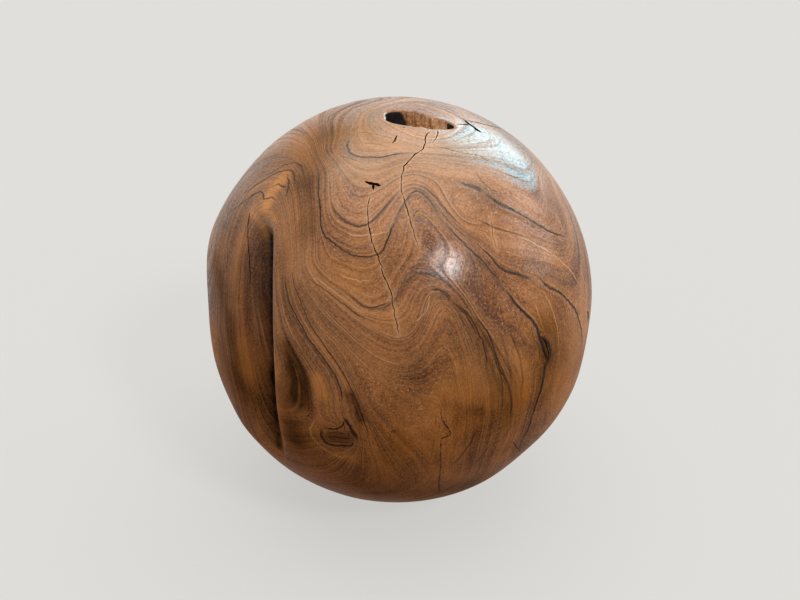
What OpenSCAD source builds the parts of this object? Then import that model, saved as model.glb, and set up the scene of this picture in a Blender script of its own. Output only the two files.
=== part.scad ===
// A ball of root wood. One lump is shaped to a rough ball and sanded smooth. The rotted heart
// of the trunk opens at the crown, a deep fold of the trunk's outline runs down the left of the
// front, and drying checks run out over the front from the crown.
// Millimetres, Z up, the front at -Y. The origin is the middle of the flat that it stands on.

/* [Ball] */
// Width from side to side, before the fold is taken out
ball_width = 493; // [360:1:700]
// Depth from front to back
ball_depth = 502; // [360:1:700]
// Height from the floor to the crown
ball_height = 507; // [360:1:700]
// Width of the flat underneath
foot_width = 120; // [60:1:180]

/* [Fold] */
// From the ball's left side in to the fold's straight wall
fold_inset = 108; // [70:1:130]
// Depth of the fold's root below the round of the ball
fold_depth = 55; // [15:1:80]
// How far round the left face leans into the fold, degrees
fold_reach = 52; // [30:1:80]
// How far the wall comes in toward the middle at its bottom end
fold_lean = 6; // [0:1:30]
// Top end of the fold, degrees down from the crown
fold_top = 48; // [35:1:65]
// Bottom end of the fold, degrees down from the crown
fold_bottom = 117; // [100:1:135]
// Rounding of the fold's lip
lip_round = 6; // [1:0.5:12]
// Rounding in the fold's root
root_round = 10; // [1:0.5:20]

/* [Heart hollow] */
// Length of the mouth, from side to side
mouth_length = 84; // [60:1:110]
// Breadth of the mouth, from front to back
mouth_breadth = 34; // [26:1:60]
// Middle of the mouth, to the right of the ball's middle
mouth_right = 27; // [-30:1:40]
// Middle of the mouth, in front of the ball's middle
mouth_front = 22; // [-30:1:40]
// Depth of the hollow below its rim
hollow_depth = 95; // [30:1:160]
// How far the hollow's floor stands to the left of its mouth's middle
hollow_left = 17; // [0:1:30]
// How far the hollow's floor stands in front of its mouth's middle
hollow_front = 9; // [0:1:20]
// Rounding of the rim
rim_round = 4; // [1:0.5:8]

/* [Drying checks] */
// Width of a check at the surface
check_width = 2.4; // [1:0.1:5]
// Depth of a check
check_depth = 9; // [4:0.5:20]

/* [Hidden] */

// Half sizes of the whole round, and the height of its middle above the floor
half_width = ball_width / 2;
half_depth = ball_depth / 2;
foot_share = sqrt(1 - pow(foot_width / ball_width, 2));
half_height = ball_height / (1 + foot_share);
middle = half_height * foot_share;

// Where the fold's wall stands, and about which azimuth its root lies at mid height
fold_wall = half_width - fold_inset;
fold_root = 180 + acos(fold_wall / (half_width - fold_depth));
fold_curl = 2.6;

// Swells and flats left by the sanding: azimuth, tilt, reach round, reach up, height
swells = [
    [347, 94, 20, 10, -3.5], [320, 126, 18, 8, -3], [240, 120, 20, 12, 3], [192, 89, 24, 12, -6],
    [178, 68, 25, 10, 2.5], [60, 75, 40, 25, -4], [120, 110, 35, 25, 4], [95, 50, 30, 18, -3]
];

// The mouth's outline, as a share of a plain oval, every 30 degrees from the right
mouth_shape = [0.9, 0.65, 0.78, 0.91, 1.05, 1.29, 0.87, 0.79, 0.81, 0.78, 1, 0.97];

// Drying checks, as azimuth and tilt along each: out of the hollow, under the bark pocket,
// right of the middle, down from the knot at the right, and at the right of the hollow
checks = [
    [[312, 12], [291, 19], [275, 25], [272, 32], [274, 39], [277, 47]],
    [[257, 31], [258, 38], [260, 44], [264, 51], [268, 58], [269, 63], [271, 69]],
    [[307, 43], [304, 48], [304, 52]],
    [[313, 79], [313, 85], [312, 94], [311, 106], [308, 113]],
    [[5, 18], [358, 21], [352, 24]]
];
// Bark pocket at the head of the second check, and the nick on the right
pockets = [
    [[255, 31.5], [258, 30.8], [262, 31.2]],
    [[339, 81], [338.5, 84], [338, 87]]
];
pocket_width = 3;   // times a check's width
check_lift = 5;     // how far a cutter stands out of the skin
check_end = 0.3;    // share of the width that is left at a check's ends and in its depth

slices = 36;        // level slices between the floor and the cap
around = 72;        // points round a slice
wall_steps = 10;    // points from the fold's root to its lip
cap_rings = 5;      // rings between the cap's edge and the rim
hollow_rings = 7;   // rings from the rim to the hollow's floor
low_tilt = 174;     // lowest slice, under the floor
cap_tilt = 30;      // slice where the cap starts

// An angle between -180 and 180
function turn(a) = ((a % 360) + 540) % 360 - 180;
function clip(a, low, high) = min(max(a, low), high);
function swell(d, reach) = exp(-pow(d / reach, 2));

// The smaller and the larger of two radii, with the corner between them rounded
function soft_min(a, b, k) = let (h = max(k - abs(a - b), 0) / k) min(a, b) - h * h * k / 4;
function soft_max(a, b, k) = -soft_min(-a, -b, k);

// Radius of the plain round at a tilt from the crown and an azimuth from the right
function round_radius(tilt, az) =
    sin(tilt) / sqrt(pow(cos(az) / half_width, 2) + pow(sin(az) / half_depth, 2))
    + list_sum([for (s = swells) s[4] * swell(turn(az - s[0]), s[2]) * swell(tilt - s[1], s[3])]);
function list_sum(v) = v * [for (x = v) 1];

// The fold: its depth along the tilt, its straight wall and the left face that leans into it
function fold_share(tilt) =
    let (s = clip((tilt - fold_top) / (fold_bottom - fold_top), 0, 1))
    pow(max(sin(180 * pow(s, 0.85)), 0), 1.1);
function wall_x(tilt) = fold_wall - fold_lean * pow(clip((tilt - 90) / (fold_bottom - 90), 0, 1), 1.5);
function wall_radius(tilt, az) = let (a = turn(az - 180)) wall_x(tilt) / max(cos(a), 0.05);
function face_radius(tilt, az, r) =
    let (u = clip((fold_root - 180 - turn(az - 180)) / fold_reach, -1, 1))
    r - fold_depth * fold_share(tilt) * pow(1 - u, fold_curl);
function outer_radius(tilt, az) =
    let (r = round_radius(tilt, az),
         inner = soft_max(wall_radius(tilt, az), face_radius(tilt, az, r), root_round),
         lip = lip_round * clip(3 * fold_share(tilt), 0.1, 1))
    turn(az - fold_root) < -10 ? min(r, inner) : soft_min(r, inner, lip);

// A point of the skin, lifted off it away from the ball's middle
function skin(tilt, az, lift = 0) =
    let (r = outer_radius(tilt, az),
         out = [r * cos(az), r * sin(az), half_height * cos(tilt)])
    [0, 0, middle] + out * (1 + lift / norm(out));

// Azimuths of a slice's points: from the fold's root to its lip, then on round the ball
function lip_azimuth(tilt) =
    let (start = fold_root - 8,
         lip = 180 + acos(clip(wall_x(tilt) / max(round_radius(tilt, 230), 1), 0, 1)))
    max(lip, start + 8);
function station(i, tilt) =
    let (start = fold_root - 8, lip = lip_azimuth(tilt))
    i < wall_steps ? start + (lip - start) * i / wall_steps
    : lip + (360 - lip + start) * (i - wall_steps) / (around - wall_steps);

// The mouth of the hollow, and the crown's height over a point
function mouth_share(az) =
    let (p = ((az % 360) + 360) % 360 / 30, i = floor(p), f = (1 - cos(180 * (p - i))) / 2)
    mouth_shape[i % 12] * (1 - f) + mouth_shape[(i + 1) % 12] * f;
function mouth_radius(az) =
    mouth_share(az) / sqrt(pow(2 * cos(az) / mouth_length, 2) + pow(2 * sin(az) / mouth_breadth, 2));
function mouth_point(az, grow = 0) =
    [mouth_right, -mouth_front] + (mouth_radius(az) + grow) * [cos(az), sin(az)];
function crown(p) =
    middle + half_height * sqrt(max(1 - pow(p[0] / half_width, 2) - pow(p[1] / half_depth, 2), 0));

// Rings of the outside, of the cap over the crown, and of the hollow
function slice(tilt) = [for (i = [0:around - 1]) skin(tilt, station(i, tilt))];
function cap_ring(f) = [
    for (i = [0:around - 1])
    let (az = station(i, cap_tilt),
         edge = skin(cap_tilt, az),
         p = [edge[0], edge[1]] * (1 - f) + mouth_point(az, rim_round) * f)
    [p[0], p[1], crown(p)]
];
function hollow_middle(f) = [mouth_right - hollow_left * f, -mouth_front - hollow_front * f];
function hollow_ring(f) = [
    for (i = [0:around - 1])
    let (az = station(i, cap_tilt),
         rim = mouth_point(az),
         p = hollow_middle(f) + (rim - hollow_middle(0)) * pow(1 - pow(f, 2.4), 0.6),
         top = crown(rim) * (1 - f) + crown(hollow_middle(0)) * f)
    [p[0], p[1], top - rim_round - (hollow_depth - rim_round) * f]
];
rings = concat(
    [for (i = [0:slices]) slice(low_tilt + (cap_tilt - low_tilt) * i / slices)],
    [for (i = [1:cap_rings]) cap_ring(i / cap_rings)],
    [for (i = [0:hollow_rings - 1]) hollow_ring(i / hollow_rings)]
);

// A closed skin over a stack of rings, with a point at each end
module stack(rings, first, last) {
    n = len(rings[0]);
    count = len(rings);
    points = concat([for (r = rings) each r], [first, last]);
    polyhedron(points, concat(
        [for (k = [0:count - 2], i = [0:n - 1]) let (j = (i + 1) % n) [k * n + i, (k + 1) * n + i, k * n + j]],
        [for (k = [0:count - 2], i = [0:n - 1]) let (j = (i + 1) % n)
            [k * n + j, (k + 1) * n + i, (k + 1) * n + j]],
        [for (i = [0:n - 1]) [n * count, i, (i + 1) % n]],
        [for (i = [0:n - 1]) [n * count + 1, (count - 1) * n + (i + 1) % n, (count - 1) * n + i]]
    ));
}

// The sanded lump with its fold and its hollow
module lump() {
    stack(rings, [0, 0, middle - half_height],
        concat(hollow_middle(1), crown(hollow_middle(0)) - hollow_depth));
}

// The wedge that a check takes out, along its path
module check(path, width) {
    n = len(path);
    spine = [for (p = path) skin(p[1], p[0])];
    rings = [
        for (i = [0:n - 1])
        let (up = unit(spine[i] - [0, 0, middle]),
             along = spine[min(i + 1, n - 1)] - spine[max(i - 1, 0)],
             side = unit(cross(up, along)) * width / 2 * (i == 0 || i == n - 1 ? check_end : 1),
             top = spine[i] + up * check_lift,
             foot = spine[i] - up * check_depth)
        [top + side, top - side, foot - side * check_end, foot + side * check_end]
    ];
    stack(rings, spine[0], spine[n - 1]);
}
function unit(v) = v / norm(v);

// The ground under the flat
module ground() {
    translate([-ball_width, -ball_depth, -ball_height]) cube([2 * ball_width, 2 * ball_depth, ball_height]);
}

module ball() {
    color([0.56, 0.36, 0.21])
    difference() {
        lump();
        ground();
        for (path = checks) check(path, check_width);
        for (path = pockets) check(path, check_width * pocket_width);
    }
}

ball();
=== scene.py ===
import math

import bpy
import numpy as np
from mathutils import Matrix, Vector, noise


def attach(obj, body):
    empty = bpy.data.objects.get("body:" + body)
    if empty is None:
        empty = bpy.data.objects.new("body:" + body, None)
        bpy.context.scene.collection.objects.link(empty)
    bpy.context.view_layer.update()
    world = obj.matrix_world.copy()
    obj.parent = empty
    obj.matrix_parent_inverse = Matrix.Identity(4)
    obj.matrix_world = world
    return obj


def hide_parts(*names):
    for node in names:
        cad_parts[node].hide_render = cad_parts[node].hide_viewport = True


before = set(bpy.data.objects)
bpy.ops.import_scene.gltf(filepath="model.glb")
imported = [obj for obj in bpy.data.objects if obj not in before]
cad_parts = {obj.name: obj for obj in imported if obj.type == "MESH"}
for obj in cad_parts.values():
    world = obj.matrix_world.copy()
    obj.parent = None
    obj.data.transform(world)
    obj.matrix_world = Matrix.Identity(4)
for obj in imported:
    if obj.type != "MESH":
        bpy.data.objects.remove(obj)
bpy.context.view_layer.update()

mm = 0.001


# Camera. It comes first, because the grain is placed by the photograph's pixels.
shot = {
    "frame": (800, 600),          # pixels of the photograph
    "focal": 1258.0,              # focal length in those pixels
    "sensor": 36.0,               # sensor width, mm
    "elevation": 30.0,            # degrees above the floor
    "distance": 1600.0,           # mm from the aim
    "aim": (3.0, 0.0, 250.0),     # mm
}
lookUp = math.radians(shot["elevation"])
camRight = np.array([1.0, 0.0, 0.0])
camUp = np.array([0.0, math.sin(lookUp), math.cos(lookUp)])
camBack = np.array([0.0, -math.cos(lookUp), math.sin(lookUp)])
camEye = np.array(shot["aim"]) + shot["distance"] * camBack


def placeCamera():
    data = bpy.data.cameras.new("photoCamera")
    data.sensor_width = shot["sensor"]
    data.lens = shot["focal"] * shot["sensor"] / shot["frame"][0]
    camera = bpy.data.objects.new("photoCamera", data)
    camera.location = camEye * mm
    camera.rotation_euler = (math.pi / 2 - lookUp, 0, 0)
    bpy.context.scene.collection.objects.link(camera)
    bpy.context.scene.camera = camera


# The lump's form, in mm: the solid's round and fold, and its hollow with a ragged rim, in more points
lump = {
    "width": 493.0, "depth": 502.0, "height": 507.0, "foot": 120.0,
    "foldInset": 108.0, "foldDepth": 55.0, "foldReach": 52.0, "foldLean": 6.0,
    "foldTop": 48.0, "foldBottom": 117.0, "foldCurl": 2.6, "foldRun": 0.85, "foldSwell": 1.1,
    "leanCurve": 1.5, "lipRound": 6.0, "lipGrow": 3.0, "lipLeast": 0.1, "rootRound": 10.0,
    "leftOf": -10.0, "rootGap": 8.0, "lipAz": 230.0,      # degrees: left of the root, before it, about the lip
    "leastCosine": 0.05,
    "mouthLength": 84.0, "mouthBreadth": 34.0, "mouthRight": 27.0, "mouthFront": 22.0,
    "hollowDepth": 95.0, "rimRound": 4.0, "rimBends": (30, 60),
    "rimRagged": 3.0, "raggedWaves": (7, 11, 16, 23), "raggedTurn": 2.1,
    # the mouth's outline as a share of a plain oval, every 30 degrees from the right
    "mouthShape": (0.9, 0.65, 0.8, 0.98, 1.16, 1.4, 0.94, 0.94, 0.95, 0.85, 1.03, 0.98),
    "swells": (                   # azimuth, tilt, reach round, reach up, height
        (347, 94, 20, 10, -3.5), (320, 126, 18, 8, -3.0), (240, 120, 20, 12, 3.0),
        (192, 89, 24, 12, -6.0), (178, 68, 25, 10, 2.5), (60, 75, 40, 25, -4.0),
        (120, 110, 35, 25, 4.0), (95, 50, 30, 18, -3.0)),
    "around": 360, "wallSteps": 44, "slices": 170, "footRings": 6, "capRings": 26, "hollowRings": 34,
    "capTilt": 30.0,
    "skinInset": 0.45,            # keeps the finer skin inside the solid's box
}
halfWidth, halfDepth = lump["width"] / 2, lump["depth"] / 2
footShare = math.sqrt(1 - (lump["foot"] / lump["width"]) ** 2)
halfHeight = lump["height"] / (1 + footShare)
middleZ = halfHeight * footShare
foldWall = halfWidth - lump["foldInset"]
foldRoot = 180 + math.degrees(math.acos(foldWall / (halfWidth - lump["foldDepth"])))
mouthMiddle = np.array([lump["mouthRight"], -lump["mouthFront"]])


def turn(angle):
    return (angle + 180) % 360 - 180


def ramp(value, low, high):
    return np.clip((value - low) / (high - low), 0, 1)


def unit(vectors):
    return vectors / np.linalg.norm(vectors, axis=1)[:, None]


def withHeight(flat, z):
    return np.concatenate([flat, z[..., None]], -1)


def lengthAlong(points):
    return np.concatenate([[0], np.cumsum(np.linalg.norm(np.diff(points, axis=0), axis=1))])


def readPoints(items, name):
    points = np.empty(len(items) * 3)
    items.foreach_get(name, points)
    return points.reshape(-1, 3) / mm


def softMin(first, second, corner):
    h = np.maximum(corner - np.abs(first - second), 0) / corner
    return np.minimum(first, second) - h * h * corner / 4


def roundRadius(tilt, az):
    t, a = np.radians(tilt), np.radians(az)
    radius = np.sin(t) / np.sqrt((np.cos(a) / halfWidth) ** 2 + (np.sin(a) / halfDepth) ** 2)
    for swellAz, swellTilt, reachAz, reachTilt, height in lump["swells"]:
        away = (turn(az - swellAz) / reachAz) ** 2 + ((tilt - swellTilt) / reachTilt) ** 2
        radius = radius + height * np.exp(-away)
    return radius


def wallX(tilt):
    return foldWall - lump["foldLean"] * ramp(tilt, 90, lump["foldBottom"]) ** lump["leanCurve"]


def foldShare(tilt):
    down = ramp(tilt, lump["foldTop"], lump["foldBottom"])
    return np.maximum(np.sin(np.pi * down ** lump["foldRun"]), 0) ** lump["foldSwell"]


def skinRadius(tilt, az):
    radius = roundRadius(tilt, az)
    u = np.clip((foldRoot - 180 - turn(az - 180)) / lump["foldReach"], -1, 1)
    share = foldShare(tilt)
    face = radius - lump["foldDepth"] * share * (1 - u) ** lump["foldCurl"]
    wall = wallX(tilt) / np.maximum(np.cos(np.radians(turn(az - 180))), lump["leastCosine"])
    inner = -softMin(-wall, -face, lump["rootRound"])
    left = turn(az - foldRoot) < lump["leftOf"]
    # no rounding where the fold runs out
    lip = lump["lipRound"] * np.clip(lump["lipGrow"] * share, lump["lipLeast"], 1)
    return np.where(left, np.minimum(radius, inner), softMin(radius, inner, lip))


def skinPoint(tilt, az):
    radius = skinRadius(tilt, az)
    a = np.radians(az)
    z = middleZ + halfHeight * np.cos(np.radians(tilt)) * np.ones_like(radius)
    return np.stack([radius * np.cos(a), radius * np.sin(a), z], -1)


def skinAngles(points):
    tilt = np.degrees(np.arccos(np.clip((points[..., 2] - middleZ) / halfHeight, -1, 1)))
    az = np.degrees(np.arctan2(points[..., 1], points[..., 0])) % 360
    return tilt, az


def skinDepth(points):
    tilt, az = skinAngles(points)
    return skinRadius(tilt, az) - np.hypot(points[..., 0], points[..., 1])


def crownHeight(flat):
    share = 1 - (flat[..., 0] / halfWidth) ** 2 - (flat[..., 1] / halfDepth) ** 2
    return middleZ + halfHeight * np.sqrt(np.maximum(share, 0))


def mouthPoint(az, grow=0.0):
    shape = np.array(lump["mouthShape"])
    count = len(shape)
    step = (az % 360) / (360 / count)
    index = np.floor(step).astype(int)
    f = (1 - np.cos(np.pi * (step - index))) / 2
    share = shape[index % count] * (1 - f) + shape[(index + 1) % count] * f
    a = np.radians(az)
    ragged = sum(np.sin(k * a + lump["raggedTurn"] * k) / k for k in lump["raggedWaves"])
    grow = grow + ragged * lump["rimRagged"]
    oval = np.hypot(2 * np.cos(a) / lump["mouthLength"], 2 * np.sin(a) / lump["mouthBreadth"])
    return mouthMiddle + (share / oval + grow)[..., None] * np.stack([np.cos(a), np.sin(a)], -1)


def stations(tilt):
    # azimuths round a slice: from the fold's root to its lip, then on round the ball
    start = foldRoot - lump["rootGap"]
    reach = np.maximum(roundRadius(tilt, lump["lipAz"]), 1)
    lip = 180 + np.degrees(np.arccos(np.clip(wallX(tilt) / reach, 0, 1)))
    lip = np.maximum(lip, start + lump["rootGap"])[..., None]
    i, steps = np.arange(lump["around"]), lump["wallSteps"]
    first = start + (lip - start) * i / steps
    rest = lip + (360 - lip + start) * (i - steps) / (lump["around"] - steps)
    return np.where(i < steps, first, rest)


sight = {"before": -12.0, "beyond": 130.0, "step": 0.5}      # mm along a sight line about the plain round


def sightHit(pixels):
    # where the sight lines of the photograph's pixels first meet the skin
    pixels = np.atleast_2d(np.array(pixels, float))
    across = (pixels[:, 0] - shot["frame"][0] / 2) / shot["focal"]
    up = (shot["frame"][1] / 2 - pixels[:, 1]) / shot["focal"]
    way = across[:, None] * camRight + up[:, None] * camUp - camBack
    size = np.array([halfWidth, halfDepth, halfHeight])
    eye, slope = (camEye - np.array([0, 0, middleZ])) / size, way / size
    a, b, c = (slope * slope).sum(1), slope @ eye, eye @ eye - 1
    near = (-b - np.sqrt(np.maximum(b * b - a * c, 0))) / a
    far = np.arange(sight["before"], sight["beyond"], sight["step"])
    run = near[:, None] + far / np.linalg.norm(way, axis=1)[:, None]
    line = camEye + run[..., None] * way[:, None]
    inside = skinDepth(line) > 0
    first = np.where(inside.any(1), inside.argmax(1), np.abs(far).argmin())
    return line[np.arange(len(pixels)), first]


def resample(points, step):
    points = np.array(points, float)
    run = lengthAlong(points)
    count = max(2, int(run[-1] / step) + 1)
    at = np.linspace(0, run[-1], count)
    return np.stack([np.interp(at, run, points[:, k]) for k in range(points.shape[1])], -1)


# The hollow leans: deep under the left of its mouth, a fibrous slope at the back and the right
hollow = {
    "leanLeft": 17.0, "leanFront": 9.0,     # how far its floor stands off the mouth's middle, mm
    "undercutAz": 185.0, "undercutReach": 55.0, "undercut": 0.2, "undercutCurve": 0.7,
    "slopeAz": 60.0, "slopeReach": 65.0, "slope": 0.75,      # worn slope, azimuth about the mouth's middle
    "bowl": (2.4, 0.6), "slopeCurve": 0.8,
}


def hollowRing(f, az):
    rim = mouthPoint(az)
    floor = mouthMiddle - np.array([hollow["leanLeft"], hollow["leanFront"]])
    middle = mouthMiddle * (1 - f) + floor * f
    slope, under = (hollow[name] * np.exp(-(turn(az - hollow[name + "Az"]) / hollow[name + "Reach"]) ** 2)
                    for name in ("slope", "undercut"))
    inner, outer = hollow["bowl"]
    shrink = (1 - f ** inner) ** outer * (1 - slope) + (1 - f) ** hollow["slopeCurve"] * slope
    share = shrink + under * math.sin(math.pi * f) ** hollow["undercutCurve"]
    flat = middle + (rim - mouthMiddle) * share[..., None]
    top = crownHeight(rim) * (1 - f) + crownHeight(mouthMiddle) * f
    z = top - lump["rimRound"] - (lump["hollowDepth"] - lump["rimRound"]) * f
    return withHeight(flat, z)


def lumpPoints():
    rings = []
    footTilt = 180 - math.degrees(math.acos(middleZ / halfHeight))
    lowTilt = np.full(1, footTilt)
    footEdge = skinPoint(lowTilt[:, None], stations(lowTilt))[0]
    for k in range(1, lump["footRings"]):
        rings.append(footEdge * k / lump["footRings"])
    tilts = np.linspace(footTilt, lump["capTilt"], lump["slices"] + 1)
    rings.extend(skinPoint(tilts[:, None], stations(tilts)))
    capAz = stations(tilts[-1:])[0]
    edge = rings[-1][:, :2]
    for k in range(1, lump["capRings"] + 1):
        f = k / lump["capRings"]
        flat = edge * (1 - f) + mouthPoint(capAz, lump["rimRound"]) * f
        rings.append(withHeight(flat, crownHeight(flat)))
    for bend in lump["rimBends"]:               # the rounded rim
        flat = mouthPoint(capAz, lump["rimRound"] * (1 - math.sin(math.radians(bend))))
        drop = lump["rimRound"] * (1 - math.cos(math.radians(bend)))
        rings.append(withHeight(flat, crownHeight(flat) - drop))
    for k in range(lump["hollowRings"]):
        rings.append(hollowRing(k / lump["hollowRings"], capAz))
    rings = np.array(rings)
    rings[: lump["footRings"], :, 2] = 0
    ends = np.array([[0, 0, 0], hollowRing(1.0, capAz).mean(0)])
    return rings, ends


# Sanding waves on the skin, and the rotted fibres in the hollow, mm
rough = {
    "wave": 0.5, "broadWave": 85.0, "fineWave": 38.0, "fineShare": 0.5, "waveDrop": 0.7,
    "fibre": 4.5, "fibreWidth": 5.0, "fibreLength": 16.0, "fineFibre": 2.3, "fineFibreShare": 0.6,
    "hair": 1.7, "hairShare": 0.3, "pit": 2.5, "pitWidth": 6.0,
    "rimShare": 0.05, "rimGrow": 6.0,       # where the fibres start and how fast they grow
}


def roughen(rings):
    hollowFirst = len(rings) - lump["hollowRings"]
    centre = np.array([0, 0, middleZ])
    for k in range(lump["footRings"], len(rings)):
        inHollow = (k - hollowFirst) / lump["hollowRings"]
        for i, p in enumerate(rings[k]):
            spot = Vector(p)
            if inHollow < -rough["rimShare"]:
                out = (p - centre) / np.linalg.norm(p - centre)
                fine = rough["fineShare"] * noise.noise(spot / rough["fineWave"])
                sanding = rough["wave"] * (noise.noise(spot / rough["broadWave"]) + fine - rough["waveDrop"])
                rings[k, i] = p + out * (sanding - lump["skinInset"])
            else:
                axis = np.append(p[:2] - mouthMiddle, 0)
                out = axis / max(np.linalg.norm(axis), 1)
                grow = min(max(inHollow + rough["rimShare"], 0) * rough["rimGrow"], 1)
                width, length = rough["fibreWidth"], rough["fibreLength"]
                strand = Vector((p[0] / width, p[1] / width, p[2] / length))
                fine = rough["fineFibreShare"] * noise.noise(strand * rough["fineFibre"])
                hair = rough["hairShare"] * noise.noise(spot / rough["hair"])
                rings[k, i] = p + out * rough["fibre"] * grow * (noise.noise(strand) + fine + hair)
                pit = rough["pit"] * grow * noise.noise(spot / rough["pitWidth"])
                rings[k, i, 2] -= lump["skinInset"] + pit
    return rings


# Upright ripples where the trunk's outline turns into the fold: height in mm, the rest in degrees
ripple = {"height": 1.3, "leftOfRoot": 22.0, "reachAz": 16.0, "tilt": 84.0, "reachTilt": 26.0,
          "waves": 21.0, "sway": 8.0, "swayRate": 5.0, "rimRings": 4}


def rippleFace(rings):
    tilt, az = skinAngles(rings)
    across = turn(az - (foldRoot - ripple["leftOfRoot"])) / ripple["reachAz"]
    near = np.exp(-across ** 2) * np.exp(-((tilt - ripple["tilt"]) / ripple["reachTilt"]) ** 2)
    sway = ripple["sway"] * np.sin(np.radians(tilt * ripple["swayRate"]))
    drop = ripple["height"] * near * (np.sin(np.radians(az * ripple["waves"] + sway)) - 1) / 2
    drop[: lump["footRings"]] = 0
    drop[-lump["hollowRings"] - ripple["rimRings"]:] = 0
    out = np.stack([np.cos(np.radians(az)), np.sin(np.radians(az)), np.zeros_like(az)], -1)
    return rings + out * drop[..., None]


def meshObject(name, points, faces):
    mesh = bpy.data.meshes.new(name)
    mesh.from_pydata((np.asarray(points) * mm).tolist(), [], faces)
    mesh.update()
    thing = bpy.data.objects.new(name, mesh)
    bpy.context.scene.collection.objects.link(thing)
    return thing


def stackFaces(count, around):
    # quads between rings, and a fan at each end; the end points come after the rings
    i = np.arange(around)
    j = (i + 1) % around
    faces = []
    for k in range(count - 1):
        a, b = k * around, (k + 1) * around
        faces.extend(np.stack([a + i, a + j, b + j, b + i], -1).tolist())
    low, high = count * around, count * around + 1
    faces.extend([[low, int(n), int(m)] for m, n in zip(i, j)])
    last = (count - 1) * around
    faces.extend([[high, last + int(m), last + int(n)] for m, n in zip(i, j)])
    return faces


def makeLump():
    rings, ends = lumpPoints()
    rings = roughen(rippleFace(rings))
    points = np.concatenate([rings.reshape(-1, 3), ends])
    return meshObject("woodenBall", points, stackFaces(len(rings), lump["around"]))


# Drying checks and voids: width at the start and at the end, depth, and pixels along each
checks = {
    "fromHollow": (2.2, 0.9, 11, [(430, 131), (425, 137), (426, 142), (423, 149), (415, 154), (410, 160),
        (404, 166), (402, 175), (401, 188), (404, 198)]),
    "fromHollowLow": (1.6, 1.0, 7, [(403, 196), (408, 212), (411, 222), (414, 233), (418, 245)]),
    "besideIt": (2.0, 0.8, 9, [(438, 129), (437, 138), (432, 144)]),
    "barkPocket": (6.5, 5.0, 8, [(365, 181.5), (373, 184), (381, 185)]),
    "barkPocketTail": (9.0, 2.0, 7, [(372.5, 183), (374, 190)]),
    "underPocket": (1.0, 1.6, 8, [(370, 195), (367, 208), (368, 218), (369, 230), (371, 238), (374, 248)]),
    "underPocketLow": (1.9, 1.0, 7, [(373, 245), (377, 255), (381, 265), (383, 275), (388, 285), (391, 292),
        (392, 300), (394, 310), (399, 335)]),
    "splinterVoid": (1.6, 1.4, 6, [(369, 227), (371, 237)]),
    "slash": (5.5, 7.5, 10, [(463, 118), (470, 124), (476, 128), (482, 132)]),
    "slashLink": (3.2, 3.6, 8, [(457, 124), (470, 124)]),
    "slashHair": (3.4, 1.6, 7, [(467, 120), (478, 122), (502, 128)]),
    "rightOfMiddle": (0.8, 0.7, 6, [(491, 215), (493, 235), (497, 250)]),
    "underSheen": (1.2, 0.8, 6, [(506, 173), (515, 177), (525, 177)]),
    "knotEye": (3.4, 2.2, 8, [(541, 336), (546, 342), (549, 352), (549, 360)]),
    "knotLid": (2.0, 1.2, 6, [(543, 350), (546, 358)]),
    "fromKnot": (1.6, 0.8, 8, [(545, 362), (544, 375), (541, 390), (537, 402), (533, 415), (530, 428),
        (525, 437), (521, 445)]),
    "lowRight": (1.2, 0.8, 6, [(511, 441), (516, 446), (521, 454)]),
    "hook": (0.9, 0.7, 6, [(441, 408), (442, 422), (450, 432), (447, 437), (441, 440), (440, 455),
        (441, 470), (438, 482), (440, 497)]),
    "nick": (9.0, 6.0, 11, [(588.4, 311), (589.2, 316), (588.4, 322)]),
    "wormHole": (5.5, 4.0, 9, [(400, 126.5), (405.5, 127.5)]),
    "rimSlit": (4.0, 2.4, 9, [(397.5, 135), (395.5, 139), (392, 143)]),
    "leftFace": (2.6, 1.2, 9, [(249.3, 211.5), (247.6, 224), (247.3, 236), (248.3, 248.5), (249.3, 263),
        (250, 285)]),
}
checkCut = {
    "seed": 5, "trace": 2.0, "step": 3.2,    # pixels
    "lift": 4.0, "wander": 0.35,             # mm
    "taper": 0.3, "ragged": 0.3, "blunt": 0.25, "endSteps": 2,
    "worn": ("fromHollow", "fromHollowLow", "besideIt", "underPocket", "underPocketLow", "rightOfMiddle"),
    "wornReach": 2.4, "wornStep": 1.5,       # mm, pixels
}


def outwards(points):
    return unit((points - np.array([0, 0, middleZ])) / np.array([halfWidth, halfDepth, halfHeight]) ** 2)


def sideways(spine):
    return unit(np.cross(outwards(spine), np.gradient(spine, axis=0)))


def cutChecks(body):
    rng = np.random.default_rng(checkCut["seed"])
    cutters = []
    for name, (startWidth, endWidth, depth, pixels) in checks.items():
        spine = sightHit(resample(resample(pixels, checkCut["trace"]), checkCut["step"]))
        count = len(spine)
        up, side = outwards(spine), sideways(spine)
        share = np.linspace(0, 1, count)
        width = startWidth + (endWidth - startWidth) * share
        width *= 1 + checkCut["ragged"] * rng.uniform(-1, 1, count)
        toEnd = np.minimum(share, 1 - share) * count / checkCut["endSteps"]
        width *= np.clip(toEnd + checkCut["blunt"], 0, 1)
        spine = spine + side * (checkCut["wander"] * rng.normal(size=count))[:, None]
        half = side * width[:, None] / 2
        low = half * checkCut["taper"]
        top, foot = spine + up * checkCut["lift"], spine - up * depth
        rings = np.stack([top + half, top - half, foot - low, foot + low], 1)
        ends = np.stack([(top[0] + foot[0]) / 2, (top[-1] + foot[-1]) / 2])
        points = np.concatenate([rings.reshape(-1, 3), ends])
        cutter = meshObject("cut_" + name, points, stackFaces(*rings.shape[:2]))
        cutters.append(cutter)
        modifier = body.modifiers.new(name, "BOOLEAN")
        modifier.operation = "DIFFERENCE"
        modifier.solver = "MANIFOLD"
        modifier.object = cutter
    graph = bpy.context.evaluated_depsgraph_get()
    cut = bpy.data.meshes.new_from_object(body.evaluated_get(graph))
    body.modifiers.clear()
    body.data = cut
    cut.name = body.name
    cut.materials.clear()
    for cutter in cutters:
        bpy.data.objects.remove(cutter)


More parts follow.
